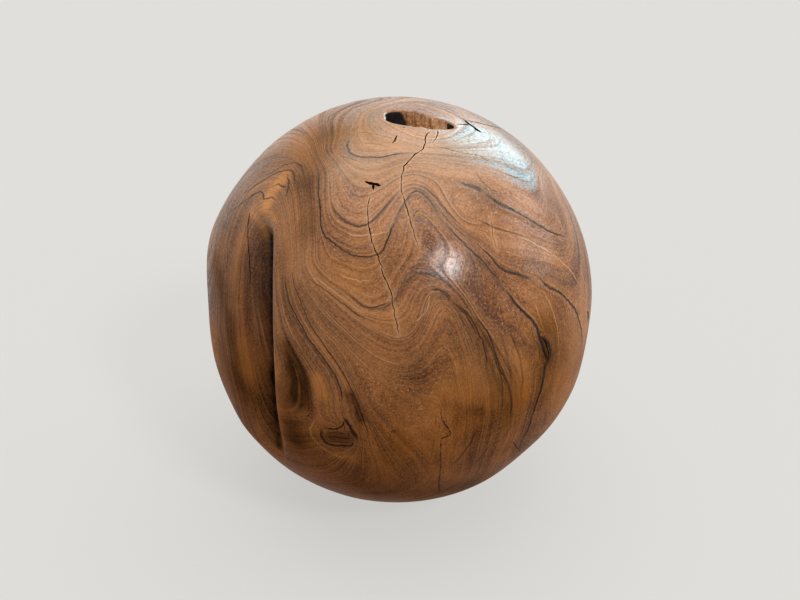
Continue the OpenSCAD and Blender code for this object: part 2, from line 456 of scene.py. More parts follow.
# Ring lines of the grain, as they run over the front: ring number, ink, and pixels along each
ringLines = {
    "mouth": (0.5, 0.3, [(374, 117), (385, 127), (400, 134), (425, 142), (450, 140), (468, 132), (471, 122),
        (455, 112), (430, 103), (405, 101), (385, 107)]),
    "crownBow": (2.0, 0.9, [(395, 99), (375, 104), (360, 111), (352, 122), (349, 133), (346, 147),
        (350, 154), (358, 157), (380, 157), (396, 153), (412, 152), (430, 153), (460, 156), (490, 159),
        (512, 165), (528, 170), (534, 162), (525, 149), (505, 134), (487, 121)]),
    "crownEdge": (3.0, 0.8, [(362, 101), (345, 107), (335, 114), (331, 124), (333, 137), (330, 150)]),
    "highRight": (3.4, 1.0, [(457, 181), (466, 184), (475, 188), (487, 196), (500, 204), (512, 210),
        (525, 217), (540, 226), (552, 232), (560, 232), (563, 225), (560, 212), (552, 196), (545, 180)]),
    "innerBow": (4.6, 0.8, [(331, 190), (331, 198), (333, 210), (340, 218), (350, 225), (361, 227),
        (370, 222), (380, 212), (388, 203), (400, 190), (412, 183), (424, 187), (433, 197), (441, 208),
        (452, 221), (462, 231)]),
    "midRight": (5.1, 1.2, [(480, 247), (492, 258), (503, 266), (515, 271), (530, 277), (545, 281),
        (555, 287), (563, 292), (570, 300), (576, 310), (580, 325), (582, 345), (580, 365)]),
    "greatBow": (6.0, 1.4, [(319, 172), (318, 185), (318, 200), (320, 215), (321, 228), (326, 238),
        (335, 245), (343, 251), (353, 256), (365, 257), (375, 256), (382, 252), (386, 246), (389, 236),
        (393, 227), (398, 215), (402, 206), (408, 199), (415, 193), (421, 193), (430, 204), (440, 217),
        (450, 228), (470, 247), (485, 264), (500, 284), (511, 299), (521, 310), (533, 321), (540, 336),
        (546, 352), (544, 375), (540, 395), (533, 415), (529, 430), (521, 445)]),
    "lowBow": (7.5, 1.1, [(312, 262), (326, 279), (345, 290), (355, 299), (368, 308), (376, 309),
        (391, 303), (396, 295), (403, 280), (410, 270), (420, 268), (432, 273), (442, 279), (452, 288),
        (463, 300), (474, 318), (487, 339), (498, 358), (506, 375), (511, 392), (513, 408), (511, 424),
        (506, 440)]),
    "deepBow": (9.0, 0.8, [(305, 262), (311, 278), (322, 292), (338, 306), (355, 320), (372, 331),
        (388, 339), (402, 342), (415, 334), (424, 318), (428, 302), (435, 292), (445, 294), (455, 302),
        (464, 318), (474, 340), (482, 362), (488, 388), (489, 415), (484, 442), (476, 468)]),
    "lastBow": (10.5, 0.5, [(298, 268), (306, 290), (318, 306), (334, 324), (352, 342), (372, 358),
        (395, 368), (415, 366), (430, 350), (440, 332), (448, 326), (455, 338), (463, 362), (467, 390),
        (468, 418), (464, 446), (458, 475)]),
    "footLine": (11.4, 0.3, [(335, 335), (355, 356), (380, 380), (405, 402), (424, 424), (436, 448),
        (440, 480)]),
    "longFlow": (12.6, 0.5, [(297, 295), (305, 315), (320, 338), (335, 358), (348, 382), (358, 408),
        (368, 434), (379, 460), (390, 488)]),
    "sweep": (15.0, 1.2, [(285, 280), (287, 296), (292, 313), (297, 322), (305, 336), (313, 346),
        (320, 357), (328, 366), (335, 377), (340, 390), (342, 402), (344, 418)]),
    "lipLine": (19.0, 0.4, [(276, 270), (278, 300), (283, 325), (291, 345), (300, 360), (309, 378),
        (313, 398), (314, 420)]),
    "archOuter": (7.2, 0.5, [(315, 240), (313, 200), (310, 170), (298, 152), (280, 148), (262, 155),
        (245, 168), (230, 188), (217, 212), (210, 240)]),
    "archSecond": (9.0, 0.5, [(306, 240), (305, 205), (301, 178), (290, 163), (275, 159), (258, 167),
        (242, 182), (228, 203), (217, 230), (213, 260)]),
    "archThird": (12.0, 0.5, [(295, 260), (293, 230), (290, 200), (283, 181), (270, 175), (256, 182),
        (243, 197), (233, 216), (225, 245), (220, 285), (219, 325), (225, 365), (236, 402)]),
    "archInner": (15.0, 0.5, [(283, 250), (281, 225), (274, 206), (263, 204), (253, 213), (245, 230),
        (238, 260), (235, 300), (237, 340), (244, 380), (254, 420)]),
}
ringSpread = {
    "step": 9.0, "soft": 14.0, "ease": 1.5,          # pixels, mm, mm
    "anchorTilts": range(15, 175, 20), "anchorsAround": 18, "leastAround": 3, "hidden": -0.18,
    "parts": 40,
    "inkReach": 8.0, "inkShare": 0.36, "inkStep": 3.0,      # mm either side of a line, share of its ink, pixels
    "backInk": 0.6, "leastPitch": 0.012,             # ink where no line is traced, rings per mm
    "knots": {                                       # pixel, reach in mm, rings that it lifts
        "lowLeftKnot": ((338, 437), 17.0, 6.0), "eyeKnot": ((547, 349), 12.0, 3.0)},
    "knotPitch": 1.2,
}
# Rings on the unseen side: ovals about the hollow, with a few lobes, each as height, count and turn
backOvals = {"middle": (15.0, -10.0), "reach": 245.0, "count": 9.5, "curve": 1.2, "fall": 90.0,
             "lobes": ((0.18, 2, 0.7), (0.12, 5, -0.5))}


def backRings(p):
    az = np.arctan2(p[:, 1], p[:, 0])
    right, front = backOvals["middle"]
    away = np.hypot(p[:, 0] - right, p[:, 1] - front) / backOvals["reach"]
    lobes = 1 + sum(height * np.sin(count * az + shift) for height, count, shift in backOvals["lobes"])
    return backOvals["count"] * away ** backOvals["curve"] * lobes - (p[:, 2] - middleZ) / backOvals["fall"]


def facing(points):
    toEye = camEye - points
    return (outwards(points) * toEye).sum(1) / np.linalg.norm(toEye, axis=1)


def hiddenAnchors():
    anchors = []
    for tilt in ringSpread["anchorTilts"]:
        count = max(ringSpread["leastAround"], int(ringSpread["anchorsAround"] * math.sin(math.radians(tilt))))
        az = (360 * np.arange(count) / count + tilt) % 360
        anchors.extend(skinPoint(np.full(count, float(tilt)), az))
    anchors = np.array(anchors)
    return anchors[facing(anchors) < ringSpread["hidden"]]


def kernel(a, b):
    return np.sqrt(((a[:, None] - b[None]) ** 2).sum(-1) + ringSpread["soft"] ** 2)


def ringField(points):
    traced = [sightHit(resample(pixels, ringSpread["step"])) for _, _, pixels in ringLines.values()]
    values = [np.full(len(t), ring) for t, (ring, _, _) in zip(traced, ringLines.values())]
    anchors = hiddenAnchors()
    known = np.concatenate(traced + [anchors])
    value = np.concatenate(values + [backRings(anchors)])
    mean = value.mean()
    weights = np.linalg.solve(kernel(known, known) - ringSpread["ease"] * np.eye(len(known)), value - mean)
    field, pitch = np.empty(len(points)), np.empty(len(points))
    for part in np.array_split(np.arange(len(points)), ringSpread["parts"]):
        here = points[part]
        reach = kernel(here, known)
        field[part] = reach @ weights + mean
        pull = weights / reach
        slope = here * pull.sum(1)[:, None] - pull @ known
        up = outwards(here)
        slope -= (slope * up).sum(1)[:, None] * up
        pitch[part] = np.linalg.norm(slope, axis=1)
    for pixel, reach, lift in ringSpread["knots"].values():
        away = np.linalg.norm(points - sightHit(pixel), axis=1) / reach
        swell = lift * np.exp(-away ** 2)
        field += swell
        pitch += swell * ringSpread["knotPitch"] * away / reach
    print("grain:", len(known), "ring points, rings from", round(field.min(), 1), "to", round(field.max(), 1))
    return field, np.clip(pitch, ringSpread["leastPitch"], None)


# Lines drawn over the rings, as the photograph shows them: width at the start and at the end in mm,
# ink, and pixels along each
strokes = {
    "dark": {
        "crownLoop": (3.0, 1.6, 1.0, [(349, 137), (347, 146), (350, 153), (358, 156.5), (370, 157),
            (382, 157), (391, 155), (400, 153), (412, 152)]),
        "greatLeft": (1.5, 1.8, 1.0, [(320, 172), (318.5, 181), (318, 191), (319.5, 201), (320, 213),
            (320.5, 224), (322.5, 232), (325.5, 237), (331.5, 241), (336.5, 245.5), (343, 250),
            (350.5, 254.5), (359.5, 256.5), (369.5, 256.5), (378.5, 254.5), (383.5, 250), (385.5, 244),
            (388.5, 238), (392, 227), (397, 219)]),
        "greatTop": (1.9, 3.0, 0.65, [(397, 219), (400, 211), (405, 201.5), (411, 193.5), (416.5, 190.5),
            (422, 193), (430.5, 201.5), (437.5, 211.5), (443, 220)]),
        "greatRight": (1.6, 1.7, 0.8, [(443, 220), (451.5, 229.5), (461.5, 241), (471, 250.5), (481, 259),
            (489.5, 269), (496.5, 277.5), (503.5, 285.5)]),
        "greatBold": (2.2, 4.2, 1.0, [(503.5, 285.5), (509, 294), (514, 301.5), (521.5, 310), (529, 317),
            (534, 322), (537, 327.5), (539, 335), (542, 344), (544, 351), (547, 358), (549, 362)]),
        "greatLow": (2.8, 2.0, 1.0, [(549, 355), (547, 361), (544.5, 375), (542, 389), (538, 400),
            (534.5, 411), (531, 422.5), (527.5, 431.5), (520, 441.5)]),
        "innerLeft": (3.0, 2.4, 0.6, [(331.5, 199), (333, 209), (339, 215.5), (347, 222), (357, 226),
            (367, 224.5), (375, 219), (384, 209), (391.5, 200), (400, 191.5)]),
        "innerRight": (3.0, 2.0, 0.55, [(415, 184.5), (426, 188), (436, 197.5), (443, 207), (453, 217),
            (461, 226)]),
        "highSmudge": (2.4, 6.0, 0.8, [(458.5, 182), (467, 184.5), (475.5, 187), (484, 191.5)]),
        "highRight": (4.0, 2.0, 0.9, [(484, 191.5), (491, 197.5), (498, 202.5), (506, 206.5), (517.5, 212),
            (528.5, 218.5), (540, 225.5), (548.5, 231), (557, 234.5), (567, 237)]),
        "secondRight": (2.4, 1.6, 0.5, [(477, 218.5), (489.5, 225.5), (500.5, 229.5), (514.5, 233),
            (523, 236.5)]),
        "midRight": (2.0, 3.6, 0.7, [(478, 245), (489.5, 255), (498, 266), (506, 271.5), (517.5, 274),
            (527.5, 277.5), (535, 281.5)]),
        "midRightLow": (2.8, 2.6, 0.95, [(537, 276.5), (541.5, 280), (548.5, 287), (559.5, 291.5),
            (568, 300), (575, 308), (579, 318), (582, 330), (583, 345)]),
        "dipTop": (1.8, 1.8, 0.6, [(420.5, 273), (429, 273), (437.5, 275), (443, 280), (450, 285.5),
            (456, 291.5)]),
        "dipLow": (1.8, 4.4, 0.7, [(430.5, 289.5), (439, 290), (446, 294), (451.5, 300)]),
        "dipTail": (2.6, 1.4, 0.6, [(451.5, 300), (457, 305.5), (465.5, 314), (471, 323.5), (478, 336)]),
        "sweep": (1.3, 1.7, 0.85, [(283.5, 274), (285.5, 287), (288, 299.5), (292, 308.5), (300.5, 325),
            (308.5, 339), (318.5, 352), (326.5, 362.5), (335, 375), (340.5, 389), (343, 404.5)]),
        "secondSweep": (1.1, 1.3, 0.7, [(289.5, 268), (292, 274.5), (293.5, 284.5), (298, 296), (302, 308),
            (312, 328), (322.5, 343), (335, 361), (348, 381.5), (357, 402), (363.5, 420), (369.5, 441)]),
        "lowBow": (1.2, 1.6, 0.75, [(344, 292), (353, 298.5), (362, 306), (369.5, 308.5), (381, 305.5),
            (391.5, 302)]),
        "lowBand": (1.2, 2.2, 0.55, [(304.5, 276.5), (317.5, 284.5), (330, 294.5), (344, 304.5), (357, 315),
            (371, 321.5)]),
        "archZig": (2.2, 3.0, 1.0, [(226, 215), (238.5, 205), (251, 195), (259, 191.5), (262, 193),
            (263.5, 199.5), (271, 196.5), (277.5, 200.5)]),
        "archFirst": (2.0, 2.2, 0.9, [(240, 195), (257.5, 183.5), (269, 176), (279, 171), (289, 169.5),
            (294, 174), (294, 186)]),
        "zigUpper": (2.4, 2.4, 1.0, [(271, 187), (277, 183.5), (281, 186), (287, 187)]),
        "zigEdge": (2.0, 2.0, 0.9, [(282, 173), (287, 174), (288.5, 182), (287, 192), (284, 198)]),
        "archSecond": (2.0, 2.0, 0.8, [(262, 178), (271.5, 172), (283, 164.5), (293, 162), (301, 165),
            (304, 175)]),
        "crownArc": (3.4, 2.4, 0.6, [(327, 122), (329.5, 115.5), (342, 109), (361, 104), (372, 101.5)]),
        "crownLines": (1.4, 1.4, 0.35, [(350, 132), (366, 132.5), (382, 135), (398, 139), (412, 144)]),
        "crownLower": (1.4, 1.4, 0.35, [(357, 142), (376.5, 144), (392, 147)]),
        "behindHollow": (1.8, 1.6, 0.6, [(398, 104.5), (404.5, 103.5), (415, 102), (427.5, 103), (440, 107),
            (453, 113)]),
        "behindNear": (1.8, 1.6, 0.5, [(411, 107.5), (422.5, 108.5), (435, 113), (446, 118)]),
        "sheenLine": (1.6, 1.4, 0.7, [(437, 146), (453, 150), (466, 153), (480, 155), (492, 163), (503, 172)]),
        "sheenInner": (1.6, 1.4, 0.6, [(486, 135), (496, 143), (503, 152), (503, 160), (510, 168),
            (522, 172)]),
        "underSheen": (1.6, 1.4, 0.6, [(476, 172), (482, 181), (490, 188), (500, 193)]),
        "faceFaint": (2.0, 1.6, 0.85, [(227.5, 247), (226, 264), (224, 274)]),
        "hook": (1.6, 1.4, 0.8, [(441, 408), (442, 420), (451, 433), (449, 437), (441.5, 438.5),
            (440.5, 450), (441, 467), (439, 484), (441.5, 494)]),
        "hookSecond": (1.8, 2.4, 0.5, [(478, 426.5), (471, 443), (461.5, 457), (450, 467)]),
        "lowTwin": (2.2, 1.8, 0.5, [(501, 440), (490, 446), (483, 455), (474, 466)]),
        "lowRight": (3.0, 3.6, 0.25, [(493, 322), (500.5, 334), (507, 352), (510, 370), (511.5, 388.5),
            (512.5, 408), (510.5, 429), (501, 440.5)]),
        "lowRightIn": (2.6, 3.0, 0.2, [(478, 325), (485, 338), (488, 356), (493, 373), (500, 388),
            (505, 405)]),
        "firstStream": (1.8, 1.6, 0.7, [(452, 302), (467, 312), (477, 328.5), (483.5, 343.5), (487, 360),
            (486, 372)]),
        "secondStream": (1.6, 1.8, 0.65, [(473, 314), (487, 330), (495, 350), (500, 370), (508.5, 383.5),
            (512, 400), (511, 422)]),
        "thirdStream": (1.6, 1.8, 0.55, [(492, 350), (497, 364), (502, 380), (503.5, 397), (502, 416)]),
        "fourthStream": (2.4, 2.4, 0.35, [(508, 328), (514, 341), (520, 357), (523.5, 380), (520, 402)]),
        "eyeRing": (2.6, 3.6, 1.0, [(541, 336), (544, 338), (547.5, 341.5), (550, 346.5), (551, 352.5),
            (550.5, 357.5), (548.5, 362)]),
        "eyeSide": (3.4, 4.4, 1.0, [(541, 339), (543, 346), (545, 353), (548, 360), (549, 363)]),
        "knotWedge": (3.4, 5.2, 0.85, [(342.5, 416.5), (345, 420), (350.5, 428.5), (356, 438), (357, 441)]),
        "knotTop": (2.2, 2.4, 0.85, [(345, 419), (343, 426), (338, 429.5), (330, 429), (322, 428.5)]),
        "knotLeft": (3.2, 2.4, 0.9, [(322, 428.5), (320.5, 436), (325, 443), (333, 446), (343, 446),
            (352, 447), (355, 440)]),
        "knotLevel": (1.8, 1.8, 0.65, [(327, 437), (338, 438), (350, 439)]),
        "knotUpper": (1.6, 1.6, 0.6, [(326, 433), (338, 433.5), (347, 434)]),
        "knotLower": (1.6, 1.6, 0.6, [(328, 441.5), (340, 442.5), (351, 443)]),
    },
    "pale": {
        "crownLeft": (1.8, 1.4, 0.6, [(330.5, 125), (333, 119), (347, 110.5), (366, 105)]),
        "high": (1.6, 1.3, 0.7, [(514.5, 234.5), (526, 239), (543, 247.5), (557, 257), (569.5, 268.5),
            (580.5, 285)]),
        "loop": (1.4, 1.4, 0.7, [(541, 228), (553, 234.5), (560, 233.5), (563.5, 229), (561, 222),
            (556, 216)]),
        "arc": (1.4, 1.4, 0.6, [(343, 232), (355.5, 235.5), (368.5, 235), (381, 233.5), (390, 230)]),
        "low": (1.4, 1.4, 0.6, [(338, 273), (344, 277), (359.5, 281), (373, 281.5)]),
        "right": (1.6, 1.4, 0.6, [(580, 263), (585, 282), (589, 300)]),
        "dip": (1.4, 1.4, 0.6, [(430, 291), (429, 303), (426, 312), (418, 320), (411, 324)]),
        "knot": (2.4, 2.4, 0.6, [(316, 418), (310, 428), (311, 436), (318, 445), (328, 452), (340, 458),
            (354, 456)]),
        "crown": (1.4, 1.2, 0.5, [(360, 129), (378, 134), (398, 138), (416, 143)]),
        "bandEdge": (1.6, 2.0, 0.5, [(310, 275), (324, 284), (340, 296), (356, 309), (372, 318)]),
        "lip": (1.6, 1.6, 0.4, [(277, 262), (279, 290), (284, 315), (292, 335), (302, 352)]),
        "farRight": (1.5, 1.1, 0.85, [(543, 290), (550, 302.5), (555, 316), (558, 329), (559, 341),
            (560, 357)]),
        "besideBold": (1.3, 1.1, 0.7, [(535, 303), (540, 317.5), (544, 330)]),
    },
}
# Step in pixels, then mm: where the ink fades off beside a line, how far apart lines share a layer, and
# the length over which an end fades
strokeDraw = {"step": 1.5, "near": 6.5, "far": 9.0, "apart": 19.0, "margin": 10.0, "fade": 16.0,
              "fadeShare": 0.2, "fadeLeast": 0.12, "press": 1.05, "blank": 9.0, "partSize": 2000}
strokeLayers = {}


def strokeGaps(points, path, startWidth, endWidth, ink):
    # distance to a drawn line in half widths, with a sign for the side, and the ink near it
    spine = sightHit(resample(path, strokeDraw["step"]))
    low, high = spine.min(0) - strokeDraw["margin"], spine.max(0) + strokeDraw["margin"]
    near = np.where(((points > low) & (points < high)).all(1))[0]
    side, run = sideways(spine), lengthAlong(spine)
    fade = min(strokeDraw["fade"], strokeDraw["fadeShare"] * run[-1])
    full = min(strokeDraw["press"] * ink, 1)
    gap, strength = np.empty(len(near)), np.empty(len(near))
    for part in np.array_split(np.arange(len(near)), max(1, len(near) // strokeDraw["partSize"])):
        away = points[near[part]][:, None] - spine[None]
        nearest = (away ** 2).sum(-1).argmin(1)
        away = away[np.arange(len(part)), nearest]
        reach = np.linalg.norm(away, axis=1)
        sign = np.where((away * side[nearest]).sum(1) < 0, -1.0, 1.0)
        share = run[nearest] / run[-1]
        gap[part] = sign * reach / (startWidth + (endWidth - startWidth) * share) * 2
        toEnd = np.minimum(run[nearest], run[-1] - run[nearest])
        ends = np.clip(toEnd / fade, strokeDraw["fadeLeast"], 1)
        strength[part] = full * ends * ramp(reach, strokeDraw["far"], strokeDraw["near"])
    return near, gap, strength, spine


def drawStrokes(points):
    # lines that run close to each other go on layers of their own, so that their sides don't mix
    layers = {}
    for tone, paths in strokes.items():
        sheets = []
        for startWidth, endWidth, ink, path in paths.values():
            near, gap, strength, spine = strokeGaps(points, path, startWidth, endWidth, ink)
            for sheet in sheets:
                if all(((spine[:, None] - other[None]) ** 2).sum(-1).min() > strokeDraw["apart"] ** 2
                       for other in sheet["spines"]):
                    break
            else:
                sheet = {"gap": np.full(len(points), strokeDraw["blank"]), "ink": np.zeros(len(points)),
                         "spines": []}
                sheets.append(sheet)
            sheet["spines"].append(spine)
            stronger = strength > sheet["ink"][near]
            take = near[stronger]
            sheet["gap"][take], sheet["ink"][take] = gap[stronger], strength[stronger]
        for k, sheet in enumerate(sheets):
            layers[tone + "Gap" + str(k)], layers[tone + "Ink" + str(k)] = sheet["gap"], sheet["ink"]
        strokeLayers[tone] = len(sheets)
    print("strokes:", sum(len(p) for p in strokes.values()), "on", dict(strokeLayers), "layers")
    return layers


def nearness(points, path, reach):
    gap = np.full(len(points), np.inf)
    for spot in path:
        gap = np.minimum(gap, ((points - spot) ** 2).sum(1))
    return np.exp(-gap / reach ** 2)


# Marks on the skin that don't follow the rings, painted shade and sheen among them: strength, reach in mm, and
# pixels along each
marks = {
    # dark marks: stains, and painted shade in the fold
    "stainAndShade": {      # dark and matt, worked into the grain
        # foldShade is painted shade beside the fold's root, under the lip
        "foldShade": (0.52, 15, [(264, 236), (266, 300), (268, 370), (272, 430)]),
        "faceEdge": (0.4, 13, [(216, 262), (221, 288), (227, 318), (229, 336)]),
        "faceMiddle": (0.35, 12, [(232, 366), (240, 380), (247, 398)]),
        "faceLow": (0.18, 34, [(232, 385), (245, 415), (262, 440)]),
        "lipPatch": (0.85, 12, [(287, 345), (291, 357), (298, 372), (304, 385), (305, 400)]),
        "lipPatchLeft": (0.6, 11, [(290, 370), (294, 388), (300, 406)]),
        "lipLow": (0.55, 16, [(283, 392), (290, 412), (294, 440)]),
        "lowLeft": (0.32, 26, [(305, 448), (325, 466), (350, 478)]),
        "knotFill": (0.6, 9, [(328, 437), (338, 438), (348, 438)]),
        "streak": (1.0, 6, [(350, 396), (356, 408), (361, 420)]),
        # lowFoot makes the ball darker towards the bottom
        "lowFoot": (0.4, 40, [(380, 490), (430, 495), (480, 485)]),
        "eyeDark": (0.6, 9, [(543, 345), (548, 358)]),
        "shoulder": (0.35, 22, [(322, 136), (318, 155), (312, 172)]),
        "beside": (0.25, 12, [(309, 185), (309, 235)]),
        "redBow": (0.3, 14, [(452, 306), (470, 325), (486, 350), (500, 385), (505, 405)]),
        "spotRight": (0.75, 3.2, [(481, 410), (482.5, 414)]),
        "mottle": (0.35, 9, [(446, 404), (462, 408), (476, 411)]),
        "streamShade": (0.3, 9, [(478, 326), (492, 345), (503, 372), (510, 396), (508, 425)]),
    },
    "shadowBlack": {
        # painted shadow: the fold's root made black where the lip overhangs it
        "foldRoot": (1.0, 6.5, [(271.5, 236), (272.5, 260), (272.5, 330), (274, 380), (277, 420), (279, 444)]),
    },
    # broad darker zones, partly the wood's own tone and partly painted shade: darker towards the bottom, over
    # the left face, the lower right and the crown's left
    "umber": {
        "lowRight": (0.6, 50, [(470, 410), (515, 410), (535, 380)]),
        "rightLow": (0.95, 34, [(550, 320), (560, 350), (555, 385)]),
        "low": (0.4, 50, [(400, 450), (440, 470)]),
        "crownLeft": (0.75, 42, [(300, 150), (328, 122), (352, 106)]),
        "shoulder": (0.45, 26, [(300, 185), (302, 225)]),
        "leftFace": (0.42, 40, [(225, 300), (232, 350), (250, 400)]),
        "lowLeft": (0.4, 40, [(310, 440), (340, 460), (380, 470)]),
        "middle": (0.2, 50, [(400, 380), (440, 360)]),
        "centre": (0.2, 40, [(385, 325), (420, 315)]),
        "lip": (0.4, 14, [(281, 255), (285, 285), (292, 310)]),
        "crownNear": (0.4, 30, [(350, 135), (368, 134)]),
    },
    "gold": {
        "zigzag": (1.7, 8.0, [(283, 177), (277, 185), (271, 191), (268, 201)]),
        "arch": (0.2, 20, [(295, 158), (310, 145)]),
        "faceGold": (0.4, 14, [(243, 345), (250, 375)]),
        "faceTan": (0.4, 11, [(241, 240), (236, 258), (232, 276)]),
        "foldFlap": (0.7, 5, [(251, 213), (257, 219), (263, 228), (267, 238)]),
        "foldTop": (0.5, 8, [(252, 211), (262, 213), (272, 219)]),
        "bow": (0.25, 26, [(346, 276), (372, 270)]),
        "rightPatch": (0.35, 9, [(519, 356), (526, 366)]),
        "underKnot": (0.45, 8, [(340, 456), (352, 460)]),
        "lipEdge": (0.5, 6, [(273, 345), (276, 385), (280, 425), (283, 445)]),
        "tan": (0.7, 8, [(317, 380), (322, 395)]),
        "lowGold": (0.3, 22, [(452, 392), (478, 392), (520, 392)]),
    },
    "quiet": {      # where the rings hardly show
        "foldTop": (0.9, 16, [(262, 216), (258, 240), (258, 300)]),
        "leftFace": (0.75, 26, [(238, 235), (234, 300), (240, 380)]),
        "lipPatch": (0.6, 14, [(290, 365), (296, 385), (302, 402)]),
    },
    "pale": {
        # crown is a painted sheen: the top made paler and greyer about the hollow
        "crown": (0.35, 60, [(380, 140), (440, 150)]),
        "underLoop": (0.3, 14, [(345, 168), (372, 170)]),
    },
}

# Painted shade in the hollow: black at its left, reaching further right the deeper it goes along a leaning
# edge, and in its right end, mm
hollowShade = {"edge": 19.0, "slant": 0.45, "fade": 8.0, "notch": 56.0, "notchFade": 3.0}
polish = {"from": 230.0, "to": 420.0}       # the wax is rubbed up over the top, heights in mm
unseenRate = 4                              # how fast the ink of the unseen side sets in
markStep = 4.0                              # pixels between the points of a mark


def paint(mesh):
    points = readPoints(mesh.vertices, "co")
    ring, pitch = ringField(points)
    unseen = np.clip(-facing(points) * unseenRate, 0, 1)
    layers = {"ring": ring, "pitch": pitch, "ink": ringSpread["backInk"] * unseen}
    layers["wear"] = np.zeros(len(points))
    for _, ink, pixels in ringLines.values():
        path = sightHit(resample(pixels, ringSpread["inkStep"]))
        near = ringSpread["inkShare"] * ink * nearness(points, path, ringSpread["inkReach"])
        layers["ink"] = np.maximum(layers["ink"], near)
    for name in checkCut["worn"]:
        path = sightHit(resample(checks[name][-1], checkCut["wornStep"]))
        layers["wear"] = np.maximum(layers["wear"], nearness(points, path, checkCut["wornReach"]))
    for mark, spots in marks.items():
        total = np.zeros(len(points))
        for strength, reach, pixels in spots.values():
            total += strength * nearness(points, sightHit(resample(pixels, markStep)), reach)
        layers[mark] = np.clip(total, 0, 1)
    layers.update(drawStrokes(points))
    layers["polish"] = ramp(points[:, 2], polish["from"], polish["to"])
    deep = crownHeight(points) - points[:, 2]
    left = (mouthMiddle[0] - hollowShade["edge"] + hollowShade["slant"] * deep - points[:, 0]) / hollowShade["fade"]
    layers["hollowShade"] = np.clip(np.maximum(left, (points[:, 0] - hollowShade["notch"]) / hollowShade["notchFade"]), 0, 1)
    for name, values in layers.items():
        attribute = mesh.attributes.new(name, "FLOAT", "POINT")
        attribute.data.foreach_set("value", values.astype(np.float32))


# What counts as the hollow and as a check's wall, mm below the skin
sorting = {"mouthShare": 1.35, "mouthGrow": 4.0, "hollowFrom": 3.0, "hollowTo": 130.0, "checkFrom": 2.6,
           "foot": 1.0, "sharp": 38.0}


def sortFaces(mesh):
    # skin, hollow and check walls take a material each
    middles = readPoints(mesh.polygons, "center")
    flat = middles[:, :2] - mouthMiddle
    az = np.degrees(np.arctan2(flat[:, 1], flat[:, 0]))
    mouth = np.linalg.norm(mouthPoint(az) - mouthMiddle, axis=1)
    drop = crownHeight(middles) - middles[:, 2]
    underMouth = np.linalg.norm(flat, axis=1) < mouth * sorting["mouthShare"] + sorting["mouthGrow"]
    inHollow = underMouth & (drop > sorting["hollowFrom"]) & (drop < sorting["hollowTo"])
    inCheck = (skinDepth(middles) > sorting["checkFrom"]) & (drop > sorting["checkFrom"])
    inCheck &= ~inHollow & (middles[:, 2] > sorting["foot"])
    kind = np.where(inHollow, 1, np.where(inCheck, 2, 0)).astype(np.int32)
    mesh.polygons.foreach_set("material_index", kind)
    mesh.polygons.foreach_set("use_smooth", np.ones(len(kind), dtype=bool))
    mesh.set_sharp_from_angle(angle=math.radians(sorting["sharp"]))
    print("faces: skin", (kind == 0).sum(), "hollow", (kind == 1).sum(), "checks", (kind == 2).sum())


# Shader helpers
def screen(red, green, blue):
    # a colour as a screen shows it, 0 to 255, turned to what a shader takes
    shares = [c / 255 for c in (red, green, blue)]
    return tuple(c / 12.92 if c < 0.04045 else ((c + 0.055) / 1.055) ** 2.4 for c in shares) + (1.0,)


def put(tree, kind, **settings):
    node = tree.nodes.new("ShaderNode" + kind)
    for name, value in settings.items():
        setattr(node, name, value)
    return node


def feed(tree, socket, value):
    if isinstance(value, bpy.types.NodeSocket):
        tree.links.new(value, socket)
    else:
        socket.default_value = value


def calc(tree, operation, *terms, clamp=False):
    node = put(tree, "Math", operation=operation, use_clamp=clamp)
    for socket, term in zip(node.inputs, terms):
        feed(tree, socket, term)
    return node.outputs[0]


def offMiddle(tree, value):
    return calc(tree, "SUBTRACT", value, 0.5)


def inverse(tree, share):
    return calc(tree, "SUBTRACT", 1.0, share)


def mixed(tree, share, first, second, mode="MIX"):
    node = put(tree, "Mix", data_type="RGBA", blend_type=mode)
    for index, value in ((0, share), (6, first), (7, second)):       # the node's colour sockets
        feed(tree, node.inputs[index], value)
    return node.outputs[2]


def speckle(tree, at, scale, detail=2.0, roughness=0.5, along=None):
    node = put(tree, "TexNoise", noise_dimensions="3D" if along is None else "4D")
    if along is not None:       # the place is scaled but the ring isn't
        feed(tree, node.inputs["W"], along)
        spread = put(tree, "VectorMath", operation="SCALE")
        feed(tree, spread.inputs[0], at)
        spread.inputs["Scale"].default_value = scale
        at, scale = spread.outputs[0], 1.0
    for socket, value in (("Vector", at), ("Scale", scale), ("Detail", detail), ("Roughness", roughness)):
        feed(tree, node.inputs[socket], value)
    return node.outputs["Fac"]


def between(tree, value, low, high, toLow=0.0, toHigh=1.0):
    node = put(tree, "MapRange", interpolation_type="SMOOTHSTEP")
    for index, term in enumerate((value, low, high, toLow, toHigh)):
        feed(tree, node.inputs[index], term)
    return node.outputs[0]


def painted(tree, name):
    return put(tree, "Attribute", attribute_name=name).outputs["Fac"]


def place(tree):
    return put(tree, "TexCoord").outputs["Object"]


